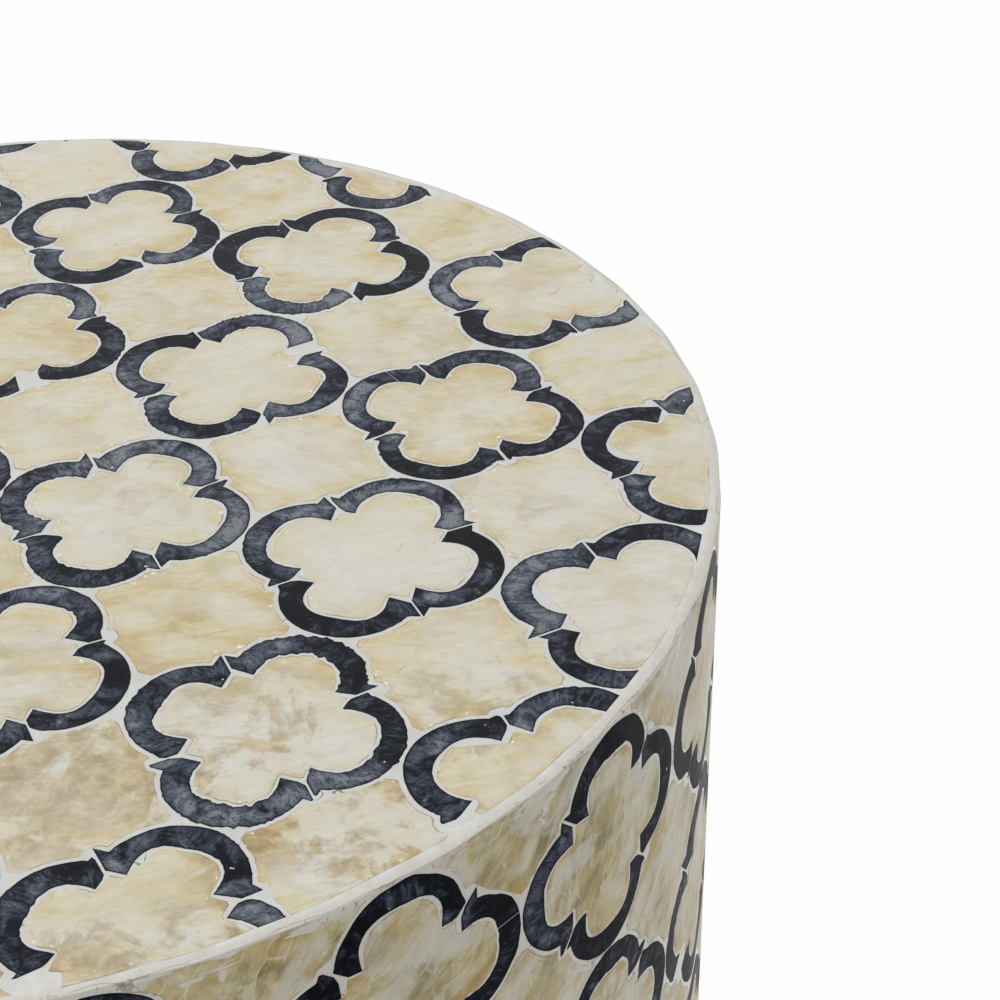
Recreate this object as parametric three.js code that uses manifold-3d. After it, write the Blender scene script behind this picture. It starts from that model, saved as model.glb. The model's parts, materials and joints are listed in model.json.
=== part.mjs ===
import * as THREE from "three";
import { mergeVertices } from "three/addons/utils/BufferGeometryUtils.js";
import Module from "manifold-3d";

// A round drum stool covered with shell marquetry: a closed plywood and fibreboard drum whose flat top
// is inlaid with quatrefoils of dark shell arcs between pale shell tiles.
// Millimetres, +Z up, origin on the floor below the middle of the drum.

// Whole drum
const drumDiameter = 406;
const drumHeight = 457;
const jointGap = 0.3; // clearance kept between neighbouring pieces
const cutOverrun = 2; // how far a cutting solid runs past what it cuts
const mergeShare = 0.001; // of the joint gap: corners closer than this are one corner
const roundSteps = 48; // flats round the drum

// Shell and resin covering
const inlayThickness = 2;
const rimWidth = 4; // white resin between the top tiles and the corner
const rimRounding = 1;
const footBandHeight = 6;

// Quatrefoil marquetry of the top: four C-shaped arcs, one for each lobe
const quatrefoilPitch = 71.2;
const lobeRadius = 17.8;
const arcWidth = 7.5;
const lobeGap = 1.4; // resin between the lobes of neighbouring quatrefoils
const seamWidth = 1.4; // resin between two arcs of one quatrefoil
const hornRise = 4.5; // how far an arc's outer spike stands past its lobe's centre
const footDrop = 1.2; // how far an arc's inner foot lies short of its lobe's centre
const marginToRim = 1.2; // pale edge left outside the arcs that the rim cuts
const leastArcShare = 0.2; // of an arc's area; a smaller offcut at the rim is left out
const latticeAngle = THREE.MathUtils.degToRad(-18.67);
const latticeShiftShares = [-0.345, -0.106]; // of the pitch, from the drum's centre to a quatrefoil's
const lobesPerQuatrefoil = 4;
const outerArcSteps = 5;
const innerArcSteps = 4;

// Carcass
const topBoardThickness = 18;
const baseBoardThickness = 15;
const skinThickness = 5;
const hoopWidth = 45;
const hoopThickness = 18;
const stileCount = 8;
const stileWidth = 40;
const stileDepth = 18;

// Glides, pressed into the base board by a nail
const glideCount = 4;
const glideRadius = 11;
const glideHeight = 3;
const glideChamfer = 1;
const glideInset = 26; // from the drum's outside to a glide's centre
const glideSteps = 12;
const nailRadius = 1.5;
const nailLength = 11;

// Levels and radii that follow from the sizes above
const drumRadius = drumDiameter / 2;
const sheetInnerRadius = drumRadius - inlayThickness;
const coreRadius = sheetInnerRadius - jointGap;
const skinInnerRadius = coreRadius - skinThickness;
const hoopRadius = skinInnerRadius - jointGap;
const sheetRadius = drumRadius - rimWidth - jointGap;
const arcLimitRadius = sheetRadius - marginToRim;
const sheetBottom = drumHeight - inlayThickness;
const topBoardTop = sheetBottom - jointGap;
const topBoardBottom = topBoardTop - topBoardThickness;
const baseBoardBottom = glideHeight;
const baseBoardTop = baseBoardBottom + baseBoardThickness;
const footBandTop = baseBoardBottom + footBandHeight;
const frameBottom = baseBoardTop + jointGap;
const frameTop = topBoardBottom - jointGap;
const frameMiddle = (frameBottom + frameTop) / 2;
const lobeCentre = quatrefoilPitch / 2 - lobeGap / 2 - lobeRadius;

// Finishes
const finish = (color, roughness) => new THREE.MeshStandardMaterial({ color, roughness, metalness: 0 });
const paleShell = finish(0xe3dbc4, 0.15);
const wallShell = finish(0xc9b98f, 0.15);
const darkShell = finish(0x2b3038, 0.18);
const whiteResin = finish(0xf0efe9, 0.2);
const plywood = finish(0xc9a876, 0.7);
const softwood = finish(0xd8bd8c, 0.75);
const fibreboard = finish(0x8a6d4c, 0.8);
const nylon = finish(0x22211f, 0.5);

const wasm = await Module();
wasm.setup();

// A closed three.js geometry as a solid that can be joined and cut
function solidOf(geometry) {
  const bare = geometry.clone();
  bare.deleteAttribute("normal");
  bare.deleteAttribute("uv");
  const merged = mergeVertices(bare, jointGap * mergeShare);
  return new wasm.Manifold(
    new wasm.Mesh({
      numProp: 3,
      vertProperties: merged.attributes.position.array,
      triVerts: new Uint32Array(merged.index.array),
    }),
  );
}

function geometryOf(solid) {
  const mesh = solid.getMesh();
  const geometry = new THREE.BufferGeometry();
  geometry.setAttribute("position", new THREE.BufferAttribute(mesh.vertProperties, 3));
  geometry.setIndex(new THREE.BufferAttribute(mesh.triVerts, 1));
  const faceted = geometry.toNonIndexed();
  faceted.computeVertexNormals();
  return faceted;
}

// A turned piece: the profile's points are radius and height
function turned(profile, steps) {
  const points = profile.map(([radius, height]) => new THREE.Vector2(radius, height));
  return new THREE.LatheGeometry(points, steps).rotateX(Math.PI / 2);
}

function ring(innerRadius, outerRadius, bottom, top) {
  const corners = [
    [innerRadius, bottom],
    [outerRadius, bottom],
    [outerRadius, top],
    [innerRadius, top],
    [innerRadius, bottom],
  ];
  return turned(corners, roundSteps);
}

function disc(radius, bottom, top) {
  const corners = [
    [0, bottom],
    [radius, bottom],
    [radius, top],
    [0, top],
  ];
  return turned(corners, roundSteps);
}

function box(sizeX, sizeY, bottom, top) {
  return new THREE.BoxGeometry(sizeX, sizeY, top - bottom).translate(0, 0, (bottom + top) / 2);
}

// Points along a circle from one angle to another
function along(centre, radius, from, to, steps) {
  return Array.from({ length: steps + 1 }, (_, step) => {
    const angle = from + ((to - from) * step) / steps;
    return new THREE.Vector2(centre + radius * Math.cos(angle), radius * Math.sin(angle));
  });
}

// The outline of one dark arc, its lobe along +X from the quatrefoil's centre, moved outwards by grow.
// Its ends meet the next arcs along the diagonals, with a spike outside and a square foot inside.
function arcOutline(grow) {
  const outerRadius = lobeRadius + grow;
  const innerRadius = lobeRadius - arcWidth - grow;
  const spikeReach = lobeCentre + hornRise + grow;
  const footReach = lobeCentre - footDrop - grow;
  const seamShift = (seamWidth / 2 - grow) * Math.SQRT2;
  const outerEnd = Math.acos((spikeReach - lobeCentre) / outerRadius);
  const innerEnd = Math.acos((footReach - lobeCentre) / innerRadius);
  return new THREE.Shape([
    ...along(lobeCentre, outerRadius, -outerEnd, outerEnd, outerArcSteps),
    new THREE.Vector2(spikeReach, spikeReach - seamShift),
    new THREE.Vector2(footReach, footReach - seamShift),
    ...along(lobeCentre, innerRadius, innerEnd, -innerEnd, innerArcSteps),
    new THREE.Vector2(footReach, seamShift - footReach),
    new THREE.Vector2(spikeReach, seamShift - spikeReach),
  ]);
}

// All the arcs of the top from bottom to top, cut off round the rim and moved outwards by grow
function arcs(grow, bottom, top) {
  const settings = { depth: top - bottom, bevelEnabled: false };
  const blank = new THREE.ExtrudeGeometry(arcOutline(grow), settings);
  const limit = solidOf(disc(arcLimitRadius + grow, bottom - cutOverrun, top + cutOverrun));
  const wholeArc = solidOf(blank).volume();
  const reach = Math.ceil(drumRadius / quatrefoilPitch) + 1;
  const kept = [];
  for (let row = -reach; row <= reach; row++) {
    for (let column = -reach; column <= reach; column++) {
      for (let lobe = 0; lobe < lobesPerQuatrefoil; lobe++) {
        const piece = blank.clone().rotateZ((lobe * 2 * Math.PI) / lobesPerQuatrefoil);
        const acrossX = (column + latticeShiftShares[0]) * quatrefoilPitch;
        const acrossY = (row + latticeShiftShares[1]) * quatrefoilPitch;
        piece.translate(acrossX, acrossY, bottom).rotateZ(latticeAngle);
        const trimmed = solidOf(piece).intersect(limit);
        if (trimmed.volume() > leastArcShare * wholeArc) kept.push(trimmed);
      }
    }
  }
  return wasm.Manifold.union(kept);
}

// The top board carries the dark arcs, which stand up through the openings of the pale sheet
function topBoard() {
  const board = solidOf(disc(coreRadius, topBoardBottom, topBoardTop));
  return geometryOf(board.add(arcs(0, topBoardTop - cutOverrun, drumHeight)));
}

// Pale tiles and white resin in one sheet, with an opening for each arc
function topShellSheet() {
  const sheet = solidOf(disc(sheetRadius, sheetBottom, drumHeight));
  const openings = arcs(jointGap, sheetBottom - cutOverrun, drumHeight + cutOverrun);
  return geometryOf(sheet.subtract(openings));
}

// The white resin corner round the top, rounded outside
function rimBand() {
  const corner = drumRadius - rimRounding;
  return turned(
    [
      [drumRadius - rimWidth, sheetBottom],
      [drumRadius, sheetBottom],
      [drumRadius, drumHeight - rimRounding],
      [corner + rimRounding * Math.SQRT1_2, drumHeight - rimRounding * (1 - Math.SQRT1_2)],
      [corner, drumHeight],
      [drumRadius - rimWidth, drumHeight],
      [drumRadius - rimWidth, sheetBottom],
    ],
    roundSteps,
  );
}

// What covers the wall outside the carcass
const covering = (bottom, top) => ring(sheetInnerRadius, drumRadius, bottom, top);

const hoop = (bottom) => ring(hoopRadius - hoopWidth, hoopRadius, bottom, bottom + hoopThickness);

// Half of the bent plywood wall; the halves meet over two stiles
function wallSkin(side) {
  const wall = solidOf(ring(skinInnerRadius, coreRadius, frameBottom, frameTop));
  const half = new THREE.BoxGeometry(2 * drumDiameter, drumDiameter, 2 * drumHeight);
  half.translate(0, (side * (drumDiameter + jointGap)) / 2, 0);
  return geometryOf(wall.intersect(solidOf(half)));
}

// An upright batten whose outer face is planed to the round of the wall
function stile() {
  const bottom = frameBottom + hoopThickness + jointGap;
  const top = frameTop - hoopThickness - jointGap;
  const batten = box(stileDepth, stileWidth, bottom, top).translate(hoopRadius - stileDepth / 2, 0, 0);
  return geometryOf(solidOf(batten).intersect(solidOf(disc(hoopRadius, 0, drumHeight))));
}

const stileAngle = (index) => (index * 2 * Math.PI) / stileCount;

// The middle hoop is notched where the stiles pass
function middleHoop() {
  const bottom = frameMiddle - hoopThickness / 2;
  const top = bottom + hoopThickness;
  let notched = solidOf(hoop(bottom));
  const notchDepth = stileDepth + jointGap + cutOverrun;
  for (let index = 0; index < stileCount; index++) {
    const notch = box(notchDepth, stileWidth + 2 * jointGap, bottom - cutOverrun, top + cutOverrun);
    notch.translate(hoopRadius + cutOverrun - notchDepth / 2, 0, 0).rotateZ(stileAngle(index));
    notched = notched.subtract(solidOf(notch));
  }
  return geometryOf(notched);
}

// A glide pad with its nail, standing on the floor
function glide() {
  return turned(
    [
      [0, 0],
      [glideRadius - glideChamfer, 0],
      [glideRadius, glideChamfer],
      [glideRadius, glideHeight - jointGap],
      [nailRadius, glideHeight - jointGap],
      [nailRadius, glideHeight + nailLength],
      [0, glideHeight + nailLength],
    ],
    glideSteps,
  );
}

function glidePlace(index) {
  const angle = ((index + 1 / 2) * 2 * Math.PI) / glideCount;
  const reach = drumRadius - glideInset;
  return new THREE.Vector3(reach * Math.cos(angle), reach * Math.sin(angle), 0);
}

// The base board has a hole for the nail of each glide
function baseBoard() {
  let board = solidOf(disc(coreRadius, baseBoardBottom, baseBoardTop));
  const holeTop = baseBoardBottom + nailLength + jointGap;
  const hole = turned(
    [
      [0, baseBoardBottom - cutOverrun],
      [nailRadius + jointGap, baseBoardBottom - cutOverrun],
      [nailRadius + jointGap, holeTop],
      [0, holeTop],
    ],
    glideSteps,
  );
  for (let index = 0; index < glideCount; index++) {
    board = board.subtract(solidOf(hole.clone().translate(...glidePlace(index))));
  }
  return geometryOf(board);
}

const stool = new THREE.Group();

function add(name, geometry, material, parent = stool) {
  const mesh = new THREE.Mesh(geometry, material);
  mesh.name = name;
  parent.add(mesh);
  return mesh;
}

add("top_board", topBoard(), darkShell);
add("top_shell_sheet", topShellSheet(), paleShell);
add("rim_band", rimBand(), whiteResin);
add("wall_shell_sheet", covering(footBandTop + jointGap, sheetBottom - jointGap), wallShell);
add("foot_band", covering(baseBoardBottom, footBandTop), whiteResin);
add("wall_skin_front", wallSkin(-1), plywood);
add("wall_skin_back", wallSkin(1), plywood);
add("upper_hoop", hoop(frameTop - hoopThickness), plywood);
add("middle_hoop", middleHoop(), plywood);
add("lower_hoop", hoop(frameBottom), plywood);
for (let index = 0; index < stileCount; index++) {
  add(`stile_${index + 1}`, stile(), softwood).rotation.z = stileAngle(index);
}
add("base_board", baseBoard(), fibreboard);
for (let index = 0; index < glideCount; index++) {
  add(`glide_${index + 1}`, glide(), nylon).position.copy(glidePlace(index));
}

export default stool;
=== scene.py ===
"""Looks of a round drum stool covered with shell marquetry in white resin.

The camera comes first, then the pattern's outlines, the plates cut from them, the finishes, and the stage.
The pattern is laid out in pitches of the quatrefoil lattice, and everything in the scene is in metres.
"""

import json
import random
from math import acos, atan2, ceil, cos, hypot, pi, radians, sin, sqrt

import bpy
import numpy as np
from mathutils import Matrix, Vector, noise


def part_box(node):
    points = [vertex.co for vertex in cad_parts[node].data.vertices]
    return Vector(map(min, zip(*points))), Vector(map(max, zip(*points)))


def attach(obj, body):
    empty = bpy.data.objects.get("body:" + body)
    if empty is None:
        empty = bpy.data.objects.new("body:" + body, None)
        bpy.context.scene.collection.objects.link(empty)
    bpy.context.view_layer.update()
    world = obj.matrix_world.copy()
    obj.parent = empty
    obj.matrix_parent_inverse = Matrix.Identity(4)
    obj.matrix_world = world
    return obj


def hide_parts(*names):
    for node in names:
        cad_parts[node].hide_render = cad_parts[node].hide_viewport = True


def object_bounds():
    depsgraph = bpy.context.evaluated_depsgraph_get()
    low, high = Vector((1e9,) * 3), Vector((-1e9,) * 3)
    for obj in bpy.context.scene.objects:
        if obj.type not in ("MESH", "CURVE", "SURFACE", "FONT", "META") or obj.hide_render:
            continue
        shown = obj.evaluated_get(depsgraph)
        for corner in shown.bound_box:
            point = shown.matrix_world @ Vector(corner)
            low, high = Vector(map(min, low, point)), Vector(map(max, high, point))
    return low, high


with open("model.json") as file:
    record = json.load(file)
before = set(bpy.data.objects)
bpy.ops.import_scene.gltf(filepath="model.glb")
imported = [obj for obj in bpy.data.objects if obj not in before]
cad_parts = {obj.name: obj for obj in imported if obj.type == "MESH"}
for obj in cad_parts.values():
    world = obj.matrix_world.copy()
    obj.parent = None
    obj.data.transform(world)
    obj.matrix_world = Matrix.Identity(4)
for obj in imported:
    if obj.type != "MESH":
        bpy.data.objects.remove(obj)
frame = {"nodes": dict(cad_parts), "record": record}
cad_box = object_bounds()

MM = 0.001
SEED = 7

# Places and sizes read from the frame
drum_top = cad_box[1].z
drum_radius = (cad_box[1].x - cad_box[0].x) / 2
wall_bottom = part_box("wall_shell_sheet")[0].z
sheet_low, sheet_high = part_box("top_shell_sheet")
foot_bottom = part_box("foot_band")[0].z
board_low, board_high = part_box("top_board")
core_radius = (board_high.x - board_low.x) / 2

# The photograph's view
FOCAL_PX = 2317.9
FRAME_PX = 1000
SENSOR = 36
CAMERA_PITCH = radians(35.02)
CAMERA_ROLL = radians(-1.25)
CAMERA_PLACE = (0.702, -2.615, 1.758)  # in drum radii, from the middle of the top


def into_scene(name, data):
    """A new object of this data, linked to the scene."""
    item = bpy.data.objects.new(name, data)
    bpy.context.scene.collection.objects.link(item)
    return item


def make_camera():
    data = bpy.data.cameras.new("camera")
    data.sensor_width = SENSOR
    data.lens = FOCAL_PX / FRAME_PX * SENSOR
    data.clip_start = 0.01
    data.clip_end = 50
    camera = into_scene("camera", data)
    forward = Vector((0, cos(CAMERA_PITCH), -sin(CAMERA_PITCH)))
    level = Vector((1, 0, 0))
    upright = level.cross(forward)
    c, s = cos(CAMERA_ROLL), sin(CAMERA_ROLL)
    right, up = c * level + s * upright, c * upright - s * level
    turn = Matrix((right, up, -forward)).transposed().to_4x4()
    place = Vector(CAMERA_PLACE) * drum_radius + Vector((0, 0, drum_top))
    camera.matrix_world = Matrix.Translation(place) @ turn
    bpy.context.scene.camera = camera


make_camera()

# The lattice on the top
TOP_PITCH = 0.3509 * drum_radius
TOP_ANGLE = radians(-18.67)
TOP_SHIFT = (-0.345, -0.106)  # pitches from the drum's middle to a quatrefoil's

# The wall is built up of narrow upright strips, a little flatter than a true circle
STRIPS = 42
FIRST_STRIP = radians(1)
STRIP_DIP = 0.19 * MM

# The lattice on the wall
COLUMNS = 18
ROWS = 6
FIRST_COLUMN = radians(-34.2)
WALL_START = 0.35 * MM  # from the top edge to the first row
ROW_PITCH = 0.3695 * drum_radius
COLUMN_STEP = 2 * pi / COLUMNS
WALL_MARGINS = (0.002, 0.012)  # pitches that the plates keep from the wall's top and foot

# The white rim between the top's plates and the corner
RIM_WIDTH = 2.7 * MM
RIM_WAVER = 0.9 * MM

# One quatrefoil, in pitches from its middle
LOBE = 0.25
BAND = 0.104
HORN = 0.059
FOOT = 0.022
SEAM = 0.0034
SEAM_REACH = 0.367  # to the middle of a seam, along its diagonal
TRUE_TIP = 0.4935  # to the tip of an arc without flaws
INNER_GAP = 0.0095
STAR_GAP = 0.0145
STAR_REACH = 0.375
SHOULDER = 0.2215
LOBE_REACH = 0.4
TILE_SLACK = 0.016
INNER_NOTCH = radians(33)  # from a lobe's axis to where the notch beside it starts
STAR_NOTCH = radians(38)
LEAST_ARC = 0.12  # a shorter offcut is left out
LEAST_TILE = 0.03
LEAST_REACH = 0.006
SEARCH = np.linspace(-0.4, 0.4, 13)  # where a cut tile's centre is looked for, from its middle
CLEARANCE = 0.035  # what that centre keeps from the limit and from the tile's outline

# How far handwork strays, in pitches
WAVES = 0.0055
NICKS = 0.0028
DULL_SHARE = 0.6
CRACK_SHARE = 0.1
WIDE_SEAM_SHARE = 0.05

# How finely the plates are drawn
ACROSS = np.array((0, 0.14, 0.5, 0.86, 1))  # shares of an arc's width
END_STEPS = 4
TRUE_STEPS = 40  # along an arc without flaws
HALVINGS = 14
EDGE_RINGS = ((0, 0), (0.45, 0.2), (1.3, 0.4), (3.2, 0.55))  # millimetres in, and at most this share
INNER_RINGS = (0.8, 0.6, 0.4, 0.2)

TINY = 1e-12
FAR = 9  # stands for no wall in sight

# Depths below the polished surface
RESIN_DEPTH = 0.05 * MM
PLATE_DEPTH = 1.4 * MM


def spread(rng, size):
    """A random number round 0, seldom past size and never past twice that, or 0 without a generator."""
    return max(-2 * size, min(2 * size, rng.gauss(0, size))) if rng else 0


def pick(rng, low, high, calm):
    """A random number from low to high, or the calm one without a generator."""
    return rng.uniform(low, high) if rng else calm


def chance(rng, share):
    return rng is not None and rng.random() < share


def wobble(x, y, lane, size):
    """A smooth random number from -1 to 1 that changes over size."""
    return noise.noise(Vector((x / size, y / size, 17.3 * lane)))


def last_inside(past, high):
    """The highest number from 0 to high where past is still below 0, found by halving."""
    low = 0
    for _ in range(HALVINGS):
        middle = (low + high) / 2
        if past(middle) < 0:
            low = middle
        else:
            high = middle
    return low


class Seam:
    """The line near a diagonal where two neighbouring arcs of a quatrefoil end."""

    def __init__(self, rng=None):
        self.aside, self.slope = spread(rng, 0.004), spread(rng, 0.06)
        self.half = SEAM
        if rng:
            self.half += 0.3 * SEAM * rng.expovariate(1)
        if chance(rng, WIDE_SEAM_SHARE):
            self.half = rng.uniform(0.007, 0.012)

    def lateral(self, axial, side):
        """How far to the side an arc's end may reach at a place along the lobe's axis."""
        way = axial * sqrt(2) - SEAM_REACH
        return axial + sqrt(2) * (side * (self.aside + way * self.slope) - self.half)


class Arc:
    """One dark arc: pairs of inner and outer points along it, in lattice coordinates."""

    def __init__(self, inner, outer, tint=0):
        self.inner, self.outer, self.tint = inner, outer, tint

    def placed(self, quarter, middle):
        """The arc turned by quarters of a turn and moved to a quatrefoil's middle."""
        turn = Matrix.Rotation(quarter * pi / 2, 2)
        self.inner = [turn @ p + middle for p in self.inner]
        self.outer = [turn @ p + middle for p in self.outer]
        return self

    def roughen(self, lane, amount):
        """Hand-cut edges: slow waves and small nicks along both sides, calmer near the ends."""
        count = len(self.inner)
        for k, (a, b) in enumerate(zip(self.inner, self.outer)):
            across = (b - a).normalized()
            calm = 0.35 if k < END_STEPS or k >= count - END_STEPS else 1
            chipped = 1 + 6 * max(0, wobble(a.x, a.y, lane + 4, 0.13) - 0.04)
            slow, fine = WAVES * calm, NICKS * amount * chipped * calm
            for p, own, size in ((a, lane, 0.09), (b, lane + 2, 0.11)):
                p += across * (slow * wobble(p.x, p.y, own, size) + fine * wobble(p.x, p.y, own + 1, 0.017))

    def part(self, first, last):
        inner, outer = ([p.copy() for p in line[first:last]] for line in (self.inner, self.outer))
        return Arc(inner, outer, self.tint)

    def walls(self, gap):
        """Its outline's segments, moved outwards by gap."""
        return segments(offset(self.inner[::-1] + self.outer, gap))

    def cracked(self, rng):
        """The arc, or the two pieces that a hairline crack leaves of it."""
        if not chance(rng, CRACK_SHARE):
            return [self]
        crack = rng.randint(5, len(self.inner) - 6)
        one, other = self.part(0, crack + 1), self.part(crack, len(self.inner))
        gap = rng.uniform(0.0008, 0.002)
        along = (one.outer[-1] - one.outer[-2]).normalized()
        slant = rng.uniform(-0.006, 0.006)
        one.outer[-1] += along * (slant - gap)
        one.inner[-1] -= along * (slant + gap)
        other.outer[0] += along * (slant + gap)
        other.inner[0] -= along * (slant - gap)
        return [one, other]


def draw_arc(rng, tip, seams, steps):
    """An arc whose lobe points along +X with its outermost point at tip, ended by its two seams.
    Without a generator it has no flaws."""
    lobe = LOBE + spread(rng, 0.002)
    band = BAND * (1 + spread(rng, 0.045))
    thin = pick(rng, 0, 0.022, 0.008)
    lean = spread(rng, radians(0.8))
    centre = tip - lobe
    inner_radius = lobe - band
    foot = centre - pick(rng, 0.6, 1.35, 1) * FOOT
    horn = centre + pick(rng, 0.8, 1.08, 1) * HORN
    inner_end = acos((foot - centre) / inner_radius)
    outer_end = acos((horn - centre) / lobe)
    inner, outer = [], []
    for k in range(steps + 1):
        share = 2 * k / steps - 1
        a, b = share * inner_end, share * outer_end
        flank = inner_radius + thin * sin(pi * abs(share)) ** 2
        inner.append(Vector((centre + flank * cos(a), flank * sin(a))))
        outer.append(Vector((centre + lobe * cos(b), lobe * sin(b))))
    turn, pivot = Matrix.Rotation(lean, 2), Vector((centre, 0))
    arc = Arc([turn @ (p - pivot) + pivot for p in inner], [turn @ (p - pivot) + pivot for p in outer])
    for side, seam in zip((-1, 1), seams):
        end_arc(arc, rng, side, seam, centre, foot, horn)
    arc.tint = pick(rng, 0, 1, 0.5)
    return arc


def end_arc(arc, rng, side, seam, centre, foot, horn):
    """Runs an arc on to its seam, with a toe on the inside and a spur on the outside, often dulled."""
    kind = pick(rng, 0, 1, 1)
    spur = horn
    if kind < 0.2:
        spur = centre + rng.uniform(0.01, 0.03)
    elif kind < 0.5:
        spur = horn - rng.uniform(0.006, 0.02)
    toe = foot + (rng.uniform(0.004, 0.016) if chance(rng, 0.5) else 0)
    corner = Vector((toe, side * seam.lateral(toe, side)))
    point = Vector((spur, side * seam.lateral(spur, side)))
    last = 0 if side < 0 else -1
    shares = [k / END_STEPS for k in range(1, END_STEPS + 1)]
    extra_in = [arc.inner[last].lerp(corner, share) for share in shares]
    extra_out = [arc.outer[last].lerp(point, share) for share in shares]
    if chance(rng, DULL_SHARE):
        extra_in[-1] = corner.lerp(point, rng.uniform(0.06, 0.3))
        extra_out[-1] = point.lerp(corner, rng.uniform(0, 0.3))
    for line, extra in ((arc.inner, extra_in), (arc.outer, extra_out)):
        line[:] = extra[::-1] + line if side < 0 else line + extra
        for p in line:
            if p.y * side > 0:
                p.y = side * min(abs(p.y), seam.lateral(p.x, side))


def cut_round(arc, limit):
    """The stretches of an arc inside a limit, each ending on it; limit(point) is below 0 inside."""
    def edge(near, far):
        return near.lerp(far, last_inside(lambda share: limit(near.lerp(far, share)), 1))

    runs, run, left = [], None, None
    for a, b in zip(arc.inner, arc.outer):
        inside_a, inside_b = limit(a) < 0, limit(b) < 0
        if not (inside_a or inside_b):
            if run:
                run.append((edge(run[-1][0], a), edge(run[-1][1], b)))
            run, left = None, (a, b)
            continue
        a, b = a if inside_a else edge(b, a), b if inside_b else edge(a, b)
        if run is None:
            run = [(edge(a, left[0]), edge(b, left[1]))] if left else []
            runs.append(run)
        run.append((a, b))
    long = [run for run in runs if (run[0][0] - run[-1][0]).length > LEAST_ARC]
    return [Arc([a for a, _ in run], [b for _, b in run], arc.tint) for run in long]


def as_array(points):
    return np.array([tuple(p) for p in points])


def cross(a, b):
    return a[..., 0] * b[..., 1] - a[..., 1] * b[..., 0]


def rotated(points, angle):
    c, s = cos(angle), sin(angle)
    x, y = points.T
    return np.stack([x * c - y * s, x * s + y * c], 1)


def offset(outline, gap):
    """The outline's points moved outwards by gap."""
    points = as_array(outline)
    before, after = np.roll(points, 1, axis=0), np.roll(points, -1, axis=0)
    tangent = after - before
    tangent /= np.maximum(np.linalg.norm(tangent, axis=1), 1e-9)[:, None]
    normal = np.stack([tangent[:, 1], -tangent[:, 0]], 1)
    return points + normal * gap * np.sign(cross(points, after).sum())


def segments(points):
    return np.stack([points, np.roll(points, -1, axis=0)], 1)


def compass(rays):
    return np.arange(rays) * 2 * pi / rays


def directions(angles):
    return np.stack([np.cos(angles), np.sin(angles)], 1)


def ray_reach(centre, angles, walls):
    """How far each ray from the centre runs before it meets a wall segment."""
    ray = directions(angles)[:, None]
    start, edge = walls[:, 0] - centre, walls[:, 1] - walls[:, 0]
    slant = cross(ray, edge)
    slant = np.where(np.abs(slant) < TINY, TINY, slant)
    along, share = cross(start, edge) / slant, cross(start, ray) / slant
    hit = (share >= 0) & (share <= 1) & (along > 0)
    return np.where(hit, along, FAR).min(1)


def true_arc(quarter, middle):
    """An arc without flaws."""
    return draw_arc(None, TRUE_TIP, (Seam(), Seam()), TRUE_STEPS).placed(quarter, Vector(middle))


def nominal_tiles(rays):
    """The reach of the two pale tiles round their middles, where every arc lies true."""
    angles = compass(rays)
    ring = [true_arc(q, (0, 0)).walls(INNER_GAP) for q in range(4)]
    inner = ray_reach(np.zeros(2), angles, np.concatenate(ring))
    folded = np.abs((angles + pi / 4) % (pi / 2) - pi / 4)
    notch = folded > INNER_NOTCH
    shoulder = (SHOULDER - INNER_GAP) / np.cos(folded)
    inner = np.where(notch, np.minimum(inner, shoulder), np.minimum(inner, LOBE_REACH) + TILE_SLACK)
    middles = ((-0.5, -0.5), (0.5, -0.5), (0.5, 0.5), (-0.5, 0.5))
    walls = [true_arc(q + step, middles[q]).walls(STAR_GAP) for q in range(4) for step in (0, 1)]
    star = np.minimum(ray_reach(np.zeros(2), angles, np.concatenate(walls)), STAR_REACH)
    notch = folded > STAR_NOTCH
    star = np.where(notch, star, np.minimum(star + TILE_SLACK, STAR_REACH))
    return inner, star


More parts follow.
